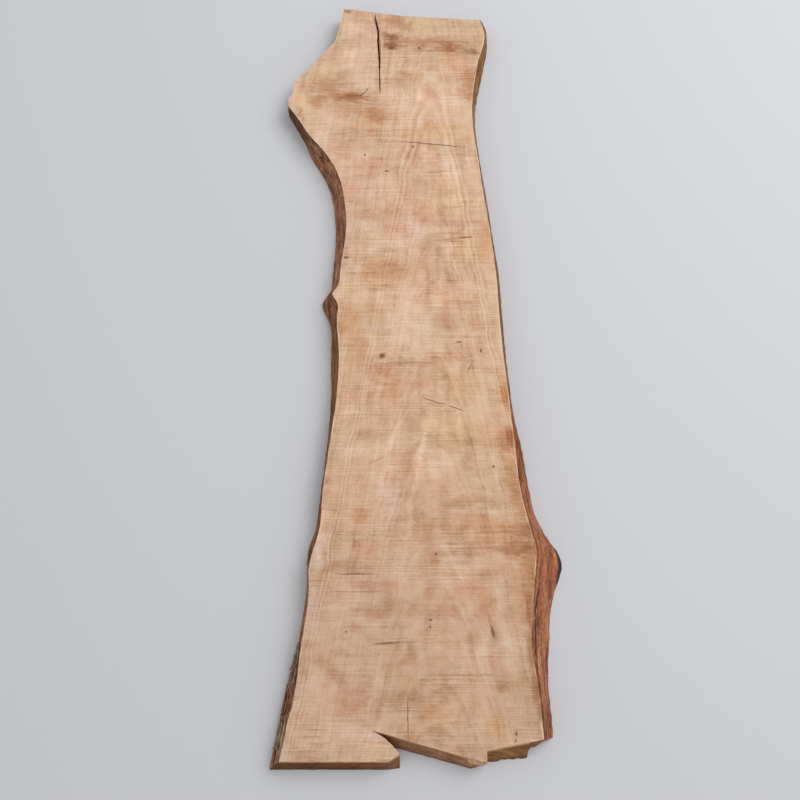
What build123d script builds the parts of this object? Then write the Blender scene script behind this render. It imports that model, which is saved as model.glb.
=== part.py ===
"""Live-edge timber slab: one flitch sawn through and through from a forked log.

The two sawn faces are flat and parallel. The long sides are the log's own surface, so they swell at
old branch knots and run out below the upper face (the wane). Both ends are chain-sawn: the butt is
bevelled and notched, the top end is square, and the branch stub beside it is cut off on a slant.
A drying check runs in from the top end. Millimetres, lying flat: X across, Y along, Z up.
"""

import os

from build123d import *

# Driving sizes
LENGTH = 1780.0
BUTT_WIDTH = 540.0
THICKNESS = 50.0
WANE = 66.0
NOTCH_DEPTH = 82.0
BUTT_BEVEL = 28.0
CHECK_WIDTH = 3.4
CUT_OVERRUN = 10.0

# The bark side bellies out: at this share of the thickness below the face it has this share of its run.
BELLY_DEPTH_SHARE = 0.5
BELLY_RUN_SHARE = 0.62

# Live edges from butt to top, on the upper face. Each station has a share of the length along,
# a share of the butt width across from the heart line, and a share of the wane at that place.
LEFT_EDGE_SHARES = (
    (-0.050, -0.495, 0.34),
    (0.000, -0.464, 0.32),
    (0.050, -0.431, 0.37),
    (0.100, -0.399, 0.36),
    (0.140, -0.385, 0.19),
    (0.205, -0.360, 0.17),
    (0.230, -0.362, 0.14),
    (0.252, -0.346, 0.24),
    (0.276, -0.323, 0.22),
    (0.310, -0.315, 0.15),
    (0.400, -0.279, 0.18),
    (0.455, -0.260, 0.27),
    (0.511, -0.259, 0.32),
    (0.552, -0.266, 0.40),
    (0.569, -0.272, 0.54),
    (0.577, -0.288, 0.38),
    (0.587, -0.272, 0.32),
    (0.605, -0.257, 0.33),
    (0.640, -0.243, 0.38),
    (0.678, -0.232, 0.45),
    (0.708, -0.243, 0.43),
    (0.740, -0.265, 0.45),
    (0.766, -0.303, 0.52),
    (0.782, -0.342, 0.46),
    (0.798, -0.388, 0.26),
    (0.826, -0.448, 0.16),
    (0.849, -0.504, 0.06),
    (0.890, -0.610, 0.00),
)
RIGHT_EDGE_SHARES = (
    (-0.050, 0.556, 0.34),
    (0.000, 0.551, 0.36),
    (0.055, 0.543, 0.43),
    (0.100, 0.530, 0.46),
    (0.147, 0.512, 0.69),
    (0.193, 0.524, 0.75),
    (0.216, 0.532, 0.92),
    (0.233, 0.539, 1.00),
    (0.252, 0.543, 0.82),
    (0.266, 0.535, 0.62),
    (0.282, 0.520, 0.49),
    (0.303, 0.502, 0.40),
    (0.335, 0.483, 0.42),
    (0.377, 0.471, 0.34),
    (0.405, 0.463, 0.23),
    (0.482, 0.439, 0.19),
    (0.537, 0.423, 0.19),
    (0.600, 0.414, 0.20),
    (0.660, 0.393, 0.19),
    (0.738, 0.359, 0.18),
    (0.797, 0.334, 0.17),
    (0.850, 0.325, 0.18),
    (0.888, 0.340, 0.20),
    (0.927, 0.366, 0.22),
    (0.955, 0.388, 0.17),
    (0.973, 0.377, 0.26),
    (1.050, 0.360, 0.30),
)

# Butt saw line on the upper face, left to right: share of the butt width across, share of the notch
# depth along, and share of the bevel by which the underside stands out further.
BUTT_SAW_SHARES = (
    (-1.000, 0.28, 0.82),
    (-0.044, 0.28, 0.82),
    (0.000, 0.46, 1.25),
    (-0.028, 0.67, 1.00),
    (-0.054, 0.83, 1.00),
    (-0.098, 1.00, 1.00),
    (0.272, 0.35, 0.95),
    (0.330, 0.25, 0.35),
    (0.330, 0.54, 1.10),
    (0.491, 0.74, 1.36),
    (0.493, 0.74, 0.86),
    (0.590, 0.86, 0.24),
    (1.000, 1.37, 0.24),
)

# Top saw line, left to right: share of the butt width across, share of the length along.
# The first run trims the branch stub and leaves a corner of it, the last ones square the top end.
TOP_SAW_SHARES = (
    (-1.000, 0.793),
    (-0.552, 0.793),
    (-0.504, 0.849),
    (-0.498, 0.860),
    (-0.481, 0.868),
    (-0.477, 0.882),
    (-0.465, 0.890),
    (-0.432, 0.897),
    (-0.296, 0.948),
    (-0.257, 1.000),
    (0.020, 0.988),
    (0.370, 0.982),
    (1.000, 0.976),
)

# Drying check from the top end inwards: share of the length, of the butt width, and of the check width.
CHECK_SHARES = (
    (1.010, -0.121, 0.40),
    (0.990, -0.115, 0.50),
    (0.974, -0.106, 0.90),
    (0.959, -0.099, 1.00),
    (0.947, -0.100, 1.00),
    (0.933, -0.096, 0.90),
    (0.916, -0.093, 0.75),
    (0.898, -0.092, 0.55),
)
CHECK_TIP_SHARES = (0.872, -0.092)

# The waste beyond each end reaches this share of the length past it.
WASTE_SHARE = 0.10


def live_edge(stations, side, run_share, level):
    """One long edge of the log at a level, moved out sideways by a share of its wane."""
    points = [
        (across * BUTT_WIDTH + side * run_share * wane * WANE, along * LENGTH, level)
        for along, across, wane in stations
    ]
    return Edge.make_spline(points, parameters=[along for along, _, _ in stations])


def flitch_section(run_share, level):
    """The unsawn flitch's outline at a level: two live edges closed by straight lines."""
    left = live_edge(LEFT_EDGE_SHARES, -1, run_share, level)
    right = live_edge(RIGHT_EDGE_SHARES, 1, run_share, level)
    corner = Vector((left @ 1).X, (right @ 1).Y, level)
    branch = Edge.make_line(left @ 1, corner)
    top = Edge.make_line(corner, right @ 1)
    butt = Edge.make_line(right @ 0, left @ 0)
    return Face(Wire([left, branch, top, right, butt]))


def flitch():
    """The log's slice before its ends are trimmed, with bellied bark sides."""
    underside = flitch_section(1, 0)
    belly = flitch_section(BELLY_RUN_SHARE, THICKNESS * (1 - BELLY_DEPTH_SHARE))
    face = flitch_section(0, THICKNESS)
    return Solid.make_loft([underside.outer_wire(), belly.outer_wire(), face.outer_wire()])


def waste(saw_line, far_end):
    """What a saw line trims off: a ruled block between the line and a far end, through the thickness.

    Each point of the line is its place on the upper face and how much further out the underside is.
    """
    sections = []
    for level in (-CUT_OVERRUN, THICKNESS + CUT_OVERRUN):
        depth_share = (THICKNESS - level) / THICKNESS
        cut = [(x, y - bevel * depth_share, level) for x, y, bevel in saw_line]
        corners = [(cut[-1][0], far_end, level), (cut[0][0], far_end, level)]
        sections.append(Wire.make_polygon(cut + corners, close=True))
    return Solid.make_loft(sections, ruled=True)


def butt_waste():
    line = [
        (across * BUTT_WIDTH, along * NOTCH_DEPTH, bevel * BUTT_BEVEL)
        for across, along, bevel in BUTT_SAW_SHARES
    ]
    return waste(line, -WASTE_SHARE * LENGTH)


def top_waste():
    line = [(across * BUTT_WIDTH, along * LENGTH, 0) for across, along in TOP_SAW_SHARES]
    return waste(line, (1 + WASTE_SHARE) * LENGTH)


def check():
    """The drying check as a thin blade through the thickness, closing to a tip."""
    tip = (CHECK_TIP_SHARES[1] * BUTT_WIDTH, CHECK_TIP_SHARES[0] * LENGTH)

    def lip(side):
        points = [
            (across * BUTT_WIDTH + side * width * CHECK_WIDTH / 2, along * LENGTH)
            for along, across, width in CHECK_SHARES
        ]
        return Edge.make_spline(points + [tip])

    left = lip(-1)
    right = lip(1)
    mouth = Edge.make_line(right @ 0, left @ 0)
    blade = extrude(Face(Wire([left, right, mouth])), THICKNESS + 2 * CUT_OVERRUN, dir=(0, 0, 1))
    return Pos(0, 0, -CUT_OVERRUN) * blade


def slab():
    """The trimmed slab, with its origin under the middle of its own box."""
    timber = flitch() - butt_waste() - top_waste() - check()
    box = timber.bounding_box()
    middle = box.center()
    return Pos(-middle.X, -middle.Y, -box.min.Z) * timber


os.makedirs("parts", exist_ok=True)
export_step(slab(), "parts/slab.step")
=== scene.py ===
import math

import bmesh
import bpy
from mathutils import Matrix, Vector, noise
from mathutils.bvhtree import BVHTree
from mathutils.kdtree import KDTree


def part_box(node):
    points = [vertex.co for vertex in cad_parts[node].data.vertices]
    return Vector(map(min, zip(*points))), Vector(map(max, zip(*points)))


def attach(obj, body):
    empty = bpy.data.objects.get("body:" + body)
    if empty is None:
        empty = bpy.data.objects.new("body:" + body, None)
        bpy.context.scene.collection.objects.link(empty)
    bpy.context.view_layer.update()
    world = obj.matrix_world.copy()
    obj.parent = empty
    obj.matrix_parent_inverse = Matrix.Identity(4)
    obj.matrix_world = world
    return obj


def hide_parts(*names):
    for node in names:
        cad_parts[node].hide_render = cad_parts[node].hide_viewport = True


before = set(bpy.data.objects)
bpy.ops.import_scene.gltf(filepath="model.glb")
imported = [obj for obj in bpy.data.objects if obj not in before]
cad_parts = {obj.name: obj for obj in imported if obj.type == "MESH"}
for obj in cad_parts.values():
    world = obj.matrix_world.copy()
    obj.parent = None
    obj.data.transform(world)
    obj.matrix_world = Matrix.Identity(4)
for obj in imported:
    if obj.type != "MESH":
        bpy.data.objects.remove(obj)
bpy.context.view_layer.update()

low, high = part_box("slab")

# The camera looks down on the lying slab as the photograph looks at the leaning one: from above the
# butt end, tilted towards the top. Its numbers also turn a place in the photograph into a place on the
# sawn face, so that knots and cracks lie where they were seen.
PHOTO_SIDE = 800
PHOTO_FOCAL = 900
SENSOR_WIDTH = 36.0
CAMERA_TILT = math.radians(13.5)
CAMERA_ABOVE_FACE = 1.948
CAMERA_FROM_BUTT = 0.311
CAMERA_FROM_LEFT = 0.2735

scene = bpy.context.scene
camera_spot = Vector((low.x + CAMERA_FROM_LEFT, low.y + CAMERA_FROM_BUTT, high.z + CAMERA_ABOVE_FACE))
lens = bpy.data.cameras.new("camera")
lens.sensor_width = SENSOR_WIDTH
lens.lens = SENSOR_WIDTH * PHOTO_FOCAL / PHOTO_SIDE
camera = bpy.data.objects.new("camera", lens)
camera.location = camera_spot
camera.rotation_euler = (CAMERA_TILT, 0, 0)
scene.collection.objects.link(camera)
scene.camera = camera

# The slab is one flitch of timber. Its mesh starts as a copy of the sawn solid, is parted into the smooth
# surfaces that meet at its arrises, gets a narrow rim along the face's arris, and is cut by planes into a
# net fine enough to carry saw marks and bark.
MERGE_DISTANCE = 1e-5
PLANE_TOLERANCE = 1e-7
ARRIS_ANGLE = math.radians(25)
ARRIS_RIM = 0.0022
ROW_PITCH = 0.0021
LEVEL_PITCH = 0.0021
FACE_COLUMN_PITCH = 0.018
UNDERSIDE_PITCH = 0.016
END_PITCH = 0.0024

net = bmesh.new()
net.from_mesh(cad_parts["slab"].data)
bmesh.ops.remove_doubles(net, verts=net.verts, dist=MERGE_DISTANCE)
surface = net.faces.layers.int.new("surface")
furrow_layer = net.verts.layers.float.new("furrow")
scale_layer = net.verts.layers.float.new("scale")
rim_layer = net.verts.layers.float.new("rim")
arris_layer = net.verts.layers.float.new("arris")


def grow_surface(seed, label):
    """Gives a face, and all that join it without an arris between, one label."""
    seed[surface] = label
    members = [seed]
    for face in members:
        for edge in face.edges:
            if edge.calc_face_angle() < ARRIS_ANGLE:
                fresh = [other for other in edge.link_faces if not other[surface]]
                for other in fresh:
                    other[surface] = label
                members.extend(fresh)
    return members


surfaces = {}
for start in net.faces:
    if not start[surface]:
        surfaces[len(surfaces) + 1] = grow_surface(start, len(surfaces) + 1)


def facing_area(label, direction):
    """How much of a surface faces a direction."""
    return sum(face.calc_area() * max(0, face.normal.dot(direction)) for face in surfaces[label])


def surface_facing(direction):
    """The surface with most area facing a direction."""
    return max(surfaces, key=lambda label: facing_area(label, direction))


SAWN_FACE = surface_facing(Vector((0, 0, 1)))
UNDERSIDE = surface_facing(Vector((0, 0, -1)))
LEFT_BARK = surface_facing(Vector((-1, 0, 0)))
RIGHT_BARK = surface_facing(Vector((1, 0, 0)))
BARK = (LEFT_BARK, RIGHT_BARK)
ENDS = [label for label in surfaces if label not in (SAWN_FACE, UNDERSIDE, *BARK)]
BUTT_ENDS = [label for label in ENDS if surfaces[label][0].calc_center_median().y < 0]
TOP_ENDS = [label for label in ENDS if label not in BUTT_ENDS]
SIDEWAYS_ENDS = [
    label for label in ENDS
    if sum(abs(face.normal.x) - abs(face.normal.y) for face in surfaces[label]) > 0
]
LENGTHWAYS_ENDS = [label for label in ENDS if label not in SIDEWAYS_ENDS]


def faces_of(*labels):
    """The net's faces on some surfaces."""
    return [face for face in net.faces if face[surface] in labels]


for edge in net.edges:
    edge.seam = edge.link_faces[0][surface] == edge.link_faces[1][surface]
loose_corners = [vert for vert in net.verts if all(edge.seam for edge in vert.link_edges)]
bmesh.ops.inset_region(
    net, faces=faces_of(SAWN_FACE), thickness=ARRIS_RIM, use_boundary=True, use_even_offset=False)


def cut_net(faces, axis, places):
    """Cuts faces by planes across an axis, the middle one first, so each cut touches few faces."""
    if not places or not faces:
        return
    middle = len(places) // 2
    normal = Vector((axis == 0, axis == 1, axis == 2))
    edges = {edge for face in faces for edge in face.edges}
    verts = {vert for edge in edges for vert in edge.verts}
    cut = bmesh.ops.bisect_plane(
        net, geom=[*verts, *edges, *faces], dist=PLANE_TOLERANCE,
        plane_co=normal * places[middle], plane_no=normal)
    parts = [part for part in cut["geom"] if isinstance(part, bmesh.types.BMFace)]
    before = [face for face in parts if face.calc_center_median()[axis] < places[middle]]
    after = [face for face in parts if face.calc_center_median()[axis] >= places[middle]]
    cut_net(before, axis, places[:middle])
    cut_net(after, axis, places[middle + 1:])


def even_places(axis, pitch):
    """Places of the cuts along an axis, close to a pitch apart."""
    count = round((high[axis] - low[axis]) / pitch)
    return [low[axis] + (high[axis] - low[axis]) * step / count for step in range(1, count)]


cut_net(faces_of(UNDERSIDE), 0, even_places(0, UNDERSIDE_PITCH))
cut_net(faces_of(UNDERSIDE), 1, even_places(1, UNDERSIDE_PITCH))
cut_net(faces_of(*LENGTHWAYS_ENDS), 0, even_places(0, END_PITCH))
cut_net(faces_of(*SIDEWAYS_ENDS), 1, even_places(1, END_PITCH))
cut_net(faces_of(SAWN_FACE, *BARK), 1, even_places(1, ROW_PITCH))
cut_net(faces_of(*BARK, *ENDS), 2, even_places(2, LEVEL_PITCH))
cut_net(faces_of(SAWN_FACE), 0, even_places(0, FACE_COLUMN_PITCH))
bmesh.ops.dissolve_verts(net, verts=[vert for vert in loose_corners if vert.is_valid])
bmesh.ops.dissolve_edges(net, edges=[edge for edge in net.edges if edge.seam], use_verts=True)
idle_corners = [vert for vert in net.verts if len(vert.link_edges) == 2]
bmesh.ops.dissolve_verts(net, verts=idle_corners)
net.normal_update()

slab_mesh = bpy.data.meshes.new("timber_slab")
smooth_slab = BVHTree.FromBMesh(net)
surfaces_at = {vert: {face[surface] for face in vert.link_faces} for vert in net.verts}
shifts = {}


def outward(vert, labels):
    """The way that some of the surfaces at a vertex face, kept level where it lies on a broad face."""
    way = sum((face.normal for face in vert.link_faces if face[surface] in labels), Vector())
    if surfaces_at[vert] & {SAWN_FACE, UNDERSIDE}:
        way.z = 0
    return way.normalized()


def wave(*place):
    """Smooth noise from -1 to 1 at a place given in wavelengths; a last whole number is a seed."""
    return noise.noise(Vector(place))


def fade(value, start, end):
    """Eases from 0 at start to 1 at end."""
    share = min(1, max(0, (value - start) / (end - start)))
    return share * share * (3 - 2 * share)


def finish_surface(labels, material):
    """Gives the faces of some surfaces a material of their own."""
    slab_mesh.materials.append(material)
    for face in faces_of(*labels):
        face.material_index = len(slab_mesh.materials) - 1


# The bark is the log's own skin along both long sides: thin, reddish and fibrous, in long strips with
# furrows between that bend round the knobs of old branches. Low on the left it has dried into scales, and
# on the right one long split runs below the face.
BARK_SWELL = 0.0015
SWELL_LENGTH = 0.11
SWELL_WIDTH = 0.05
SWELL_SINK = 0.6
STRIP_LENGTH = 0.13
STRIP_WIDTH = 0.016
STRIP_HEIGHT = 0.0016
STRIP_SINK = 0.4
STRIP_DRIFT = 0.004
DRIFT_LENGTH = 0.09
DRIFT_WIDTH = 0.04
FURROW_DEPTH = 0.0018
FURROW_SHARE = 0.6
FURROW_NARROW = 0.12
FURROW_LENGTH = 0.06
FURROW_SPACING = 0.03
FURROW_BREAKS = (-0.2, 0.35)
FIBRE_LENGTH = 0.045
FIBRE_WIDTH = 0.0045
FIBRE_HEIGHT = 0.0007
CHIP_LENGTH = 0.016
CHIP_WIDTH = 0.011
CHIP_HEIGHT = 0.0013
CHIP_SINK = 0.3
SCALE_LENGTH = 0.055
SCALE_WIDTH = 0.009
SCALE_STEP = 0.0016
SCALE_BEND = 0.7
SCALE_BEND_LENGTH = 0.09
SCALE_STAGGER = 3.7
SCALY_FROM = low.y + 0.28
SCALY_FULL = low.y + 0.21
SPLIT_BELOW = 0.0075
SPLIT_WIDTH = 0.0034
SPLIT_SWAY = 0.004
SPLIT_SWAY_LENGTH = 0.12
SPLIT_TREMBLE = 0.002
SPLIT_TREMBLE_LENGTH = 0.02
SPLIT_BREAK_LENGTH = 0.03
SPLIT_BREAKS = (-0.5, -0.1)
SPLIT_FROM = low.y + 0.06
SPLIT_TO = low.y + 0.40
SPLIT_TAIL = 0.05
CALM_DEPTH = 0.008
CALM_SHARE = 0.45
KNOB_ALONG = {LEFT_BARK: low.y + 1.027, RIGHT_BARK: low.y + 0.415}
KNOB_BELOW = {LEFT_BARK: 0.018, RIGHT_BARK: 0.027}
KNOB_RADIUS = {LEFT_BARK: 0.014, RIGHT_BARK: 0.024}
KNOB_LIP = 0.034
KNOB_LIP_EASE = 0.01
KNOB_LIP_REACH = 0.05
CREASE_ABOVE_KNOB = 0.016
CREASE_SLANT = 0.35
CREASE_WIDTH = 0.004
SEEDS_A_SIDE = 20


def grain_depth(label, along, below):
    """The depth below the face at which a strip of bark would run if the knob didn't push it aside."""
    aside = along - KNOB_ALONG[label]
    under = below - KNOB_BELOW[label]
    radius = KNOB_RADIUS[label]
    return below - under * radius ** 2 / (aside ** 2 + under ** 2 + radius ** 2)


def long_split(along, below, seed):
    """How deep a place lies in the long split of the right side, from 0 to 1."""
    sway = SPLIT_SWAY * wave(along / SPLIT_SWAY_LENGTH, 0, seed)
    sway += SPLIT_TREMBLE * wave(along / SPLIT_TREMBLE_LENGTH, 1, seed)
    split = fade(abs(below - SPLIT_BELOW - sway), SPLIT_WIDTH, 0)
    split *= fade(wave(along / SPLIT_BREAK_LENGTH, 3, seed), *SPLIT_BREAKS)
    return split * (
        fade(along, SPLIT_FROM, SPLIT_FROM + SPLIT_TAIL) * fade(along, SPLIT_TO, SPLIT_TO - SPLIT_TAIL))


def under_lip(along, below):
    """How far a place lies in the hollow under the lip of the right side's knob, from 0 to 1."""
    aside = (along - KNOB_ALONG[RIGHT_BARK]) / KNOB_LIP_REACH
    return fade(below, KNOB_LIP, KNOB_LIP + KNOB_LIP_EASE) * math.exp(-aside * aside)


def dry_scale(along, below, seed):
    """How high the scale at a place of the left side stands: scales lie in bent rows, each row staggered."""
    row = math.floor(below / SCALE_WIDTH + SCALE_BEND * wave(along / SCALE_BEND_LENGTH, 0, seed))
    place = math.floor(along / SCALE_LENGTH + SCALE_STAGGER * row)
    height = noise.cell(Vector((row * 1.37 + 0.5, place * 2.11 + 0.5, seed)))
    return height * fade(along, SCALY_FROM, SCALY_FULL)


def knob_crease(along, below):
    """How deep a place lies in the slanting crease above the left side's knob, from 0 to 1."""
    aside = along - KNOB_ALONG[LEFT_BARK] - CREASE_ABOVE_KNOB + CREASE_SLANT * below
    return fade(abs(aside), CREASE_WIDTH, 0)


def bark_relief(label, along, below):
    """How far the bark stands out at a place, how deep in a furrow it is, and the height of its scale."""
    seed = SEEDS_A_SIDE * label
    drift = STRIP_DRIFT * wave(along / DRIFT_LENGTH, below / DRIFT_WIDTH, seed)
    depth = grain_depth(label, along, below) + drift
    strip = wave(along / STRIP_LENGTH, depth / STRIP_WIDTH, seed + 2)
    broken = fade(wave(along / FURROW_LENGTH, depth / FURROW_SPACING, seed + 3), *FURROW_BREAKS)
    furrow = fade(abs(strip), FURROW_NARROW, 0.0) * broken * FURROW_SHARE
    fibre = wave(along / FIBRE_LENGTH, depth / FIBRE_WIDTH, seed + 4)
    swell = wave(along / SWELL_LENGTH, below / SWELL_WIDTH, seed + 6)
    chip = wave(along / CHIP_LENGTH, depth / CHIP_WIDTH, seed + 8)
    scale = 0
    if label == RIGHT_BARK:
        furrow = max(furrow, long_split(along, below, seed), under_lip(along, below))
    else:
        scale = dry_scale(along, below, seed)
        furrow = max(furrow, knob_crease(along, below))
    stand_out = BARK_SWELL * (swell - SWELL_SINK) + STRIP_HEIGHT * (abs(strip) - STRIP_SINK)
    stand_out += FIBRE_HEIGHT * fibre
    stand_out += CHIP_HEIGHT * (chip - CHIP_SINK) + SCALE_STEP * scale - FURROW_DEPTH * furrow
    calm = CALM_SHARE + (1 - CALM_SHARE) * fade(below, 0, CALM_DEPTH)
    return stand_out * calm, furrow, scale


for label in BARK:
    for vert in (vert for vert in net.verts if label in surfaces_at[vert]):
        stand_out, vert[furrow_layer], vert[scale_layer] = bark_relief(label, vert.co.y, high.z - vert.co.z)
        way = outward(vert, [label])
        way.z = 0
        shifts[vert] = way.normalized() * stand_out


def paint(red, green, blue):
    """A colour as a paint chart gives it, turned into the light that Blender reckons with."""
    shares = [channel / 255 for channel in (red, green, blue)]
    return (*[((share + 0.055) / 1.055) ** 2.4 for share in shares], 1)


def add_node(kind, inputs, **settings):
    """A node with its settings and inputs, beside the nodes whose outputs are linked to it as inputs."""
    feeds = {name: value for name, value in inputs.items() if isinstance(value, bpy.types.NodeSocket)}
    tree = next(iter(feeds.values())).id_data
    made = tree.nodes.new("ShaderNode" + kind)
    for name, value in settings.items():
        setattr(made, name, value)
    for name, value in inputs.items():
        if name in feeds:
            tree.links.new(value, made.inputs[name])
        else:
            made.inputs[name].default_value = value
    return made


def reckon(operation, *values):
    """The result of a Math node."""
    return add_node("Math", dict(enumerate(values)), operation=operation).outputs[0]


def weigh(parts, start):
    """A sum of values, each times its weight, on top of a start."""
    total = start
    for value, weight in parts:
        total = reckon("MULTIPLY_ADD", value, weight, total)
    return total


def ease(value, start, end, least=0.0, most=1.0):
    """A value eased from one range to another."""
    inputs = {"Value": value, "From Min": start, "From Max": end, "To Min": least, "To Max": most}
    return add_node("MapRange", inputs, interpolation_type="SMOOTHSTEP").outputs["Result"]


def lay_over(share, under, over, blend="MIX"):
    """One colour laid over another."""
    inputs = {0: share, 6: under, 7: over}
    return add_node("Mix", inputs, data_type="RGBA", blend_type=blend).outputs[2]


def colour_row(value, stops):
    """A colour picked along a row of stops, each a place and a colour."""
    made = add_node("ValToRGB", {"Fac": value})
    row = made.color_ramp.elements
    row[0].position, row[0].color = stops[0]
    row[1].position, row[1].color = stops[-1]
    for position, colour in stops[1:-1]:
        row.new(position).color = colour
    return made.outputs["Color"]


def blotches(place, lengths, seed, detail=3.0, roughness=0.55):
    """Noise whose blotches are so long along each axis, in metres; each seed gives another noise."""
    scaled = add_node("Mapping", {
        "Vector": place, "Location": (seed, seed, seed), "Scale": [1 / length for length in lengths]})
    return add_node("TexNoise", {
        "Vector": scaled.outputs[0], "Scale": 1.0, "Detail": detail, "Roughness": roughness}).outputs["Fac"]


def wander(place, length, reach):
    """The place, pushed about by noise as grain wanders in wood."""
    push = add_node("TexNoise", {"Vector": place, "Scale": 1 / length, "Detail": 2.0})
    middle = (0.5, 0.5, 0.5)
    centred = add_node("VectorMath", {0: push.outputs["Color"], 1: middle}, operation="SUBTRACT")
    scaled = add_node("VectorMath", {0: centred.outputs[0], "Scale": reach}, operation="SCALE")
    return add_node("VectorMath", {0: place, 1: scaled.outputs[0]}).outputs[0]


def on_axis(place, axis):
    """Where a place lies on an axis."""
    return add_node("SeparateXYZ", {0: place}).outputs[axis]


def axis_share(place, axis):
    """How far along the slab's box a place lies on an axis, from 0 to 1."""
    inputs = {"Value": on_axis(place, axis), "From Min": low[axis], "From Max": high[axis]}
    return add_node("MapRange", inputs).outputs["Result"]


def attribute(place, name):
    """A value kept at the mesh's vertices, for the material that reads a place."""
    made = place.id_data.nodes.new("ShaderNodeAttribute")
    made.attribute_name = name
    return made.outputs["Fac"]


def start_material(name, roughness, specular):
    """A new material, its shader and the place on the piece."""
    material = bpy.data.materials.new(name)
    material.use_nodes = True
    shader = material.node_tree.nodes["Principled BSDF"]
    shader.inputs["Roughness"].default_value = roughness
    shader.inputs["Specular IOR Level"].default_value = specular
    place = material.node_tree.nodes.new("ShaderNodeTexCoord").outputs["Object"]
    return material, shader, place


def dress(shader, colour, height, depth, strength):
    """Puts a colour and a relief of a depth in metres on a shader."""
    bump = add_node("Bump", {"Height": height, "Strength": strength, "Distance": depth})
    shader.id_data.links.new(colour, shader.inputs["Base Color"])
    shader.id_data.links.new(bump.outputs[0], shader.inputs["Normal"])


# A row of tones or tints gives places and their colours. A finish is a roughness and a sheen, a relief a
# depth and a strength, and a wander the length and reach of noise that pushes places about. A spread says
# where a layer starts and is full, then its least and most share; an edge has only the first two. Other
# sets of three are the size of blotches along each axis.
LEFT_BARK_TONES = (
    (0.10, paint(70, 44, 30)), (0.32, paint(116, 76, 56)), (0.50, paint(152, 102, 78)),
    (0.66, paint(170, 120, 92)), (0.85, paint(196, 158, 130)),
)
RIGHT_BARK_TONES = (
    (0.10, paint(80, 45, 31)), (0.32, paint(130, 80, 57)), (0.50, paint(160, 104, 77)),
    (0.66, paint(178, 122, 91)), (0.85, paint(206, 158, 124)),
)
LEFT_BARK_PATCH = (0.016, 0.034, 0.016)
RIGHT_BARK_PATCH = (0.014, 0.080, 0.014)
# Lengthways bark tints: its own colour and painted shade, dark near the top on the left and above a third of
# the way up on the right.
LEFT_BARK_TINTS_AND_SHADE = (
    (0.00, (1.05, 1.05, 1.05, 1)), (0.20, (0.95, 0.95, 0.92, 1)), (0.30, (0.75, 0.72, 0.62, 1)),
    (0.52, (0.72, 0.68, 0.54, 1)), (0.60, (1.06, 1.08, 1.07, 1)), (0.78, (1.02, 1.02, 1.00, 1)),
    (0.82, (0.45, 0.40, 0.34, 1)), (1.00, (0.45, 0.40, 0.34, 1)),
)
RIGHT_BARK_TINTS_AND_SHADE = (
    (0.00, (0.74, 0.69, 0.64, 1)), (0.06, (0.78, 0.72, 0.66, 1)), (0.11, (1.02, 1.02, 0.98, 1)),
    (0.17, (1.02, 1.01, 0.97, 1)), (0.22, (0.91, 0.84, 0.82, 1)), (0.30, (0.90, 0.84, 0.78, 1)),
    (0.37, (0.70, 0.54, 0.37, 1)), (0.44, (0.66, 0.59, 0.46, 1)), (0.56, (0.54, 0.62, 0.51, 1)),
    (0.82, (0.62, 0.71, 0.55, 1)), (0.91, (0.72, 0.82, 0.62, 1)), (1.00, (0.60, 0.67, 0.53, 1)),
)
BARK_FINISH = (0.85, 0.2)
BARK_STREAK = (0.008, 0.07, 0.008)
BARK_STREAK_WANDER = (0.05, 0.006)
BARK_PATCH_WANDER = (0.03, 0.01)
BARK_DUST = (0.03, 0.07, 0.03)
BARK_FLECK = (0.004, 0.007, 0.004)
BARK_RUDDY = (0.02, 0.05, 0.02)
RUDDY_TINT = (1.0, 0.86, 0.84, 1)
DUST_COLOUR = paint(172, 138, 114)
SCALE_COLOUR = paint(166, 144, 122)
DARK_ARRIS = 0.0055
DARK_ARRIS_COLOUR = paint(88, 55, 31)
FURROW_SHADE_COLOUR = paint(52, 31, 22)
BARK_RELIEF = (0.0018, 0.7)
RUDDY_SPREAD = (0.48, 0.66, 0.0, 0.6)
DUST_SPREAD = (0.54, 0.75, 0.0, 0.45)
SCALE_SPREAD = (0.1, 0.8, 0.0, 0.6)
DARK_ARRIS_SPREAD = (0.62, 0.38, 0.35, 0.9)
FURROW_SHADE_SPREAD = (0.2, 0.8, 0.0, 0.9)


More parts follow.
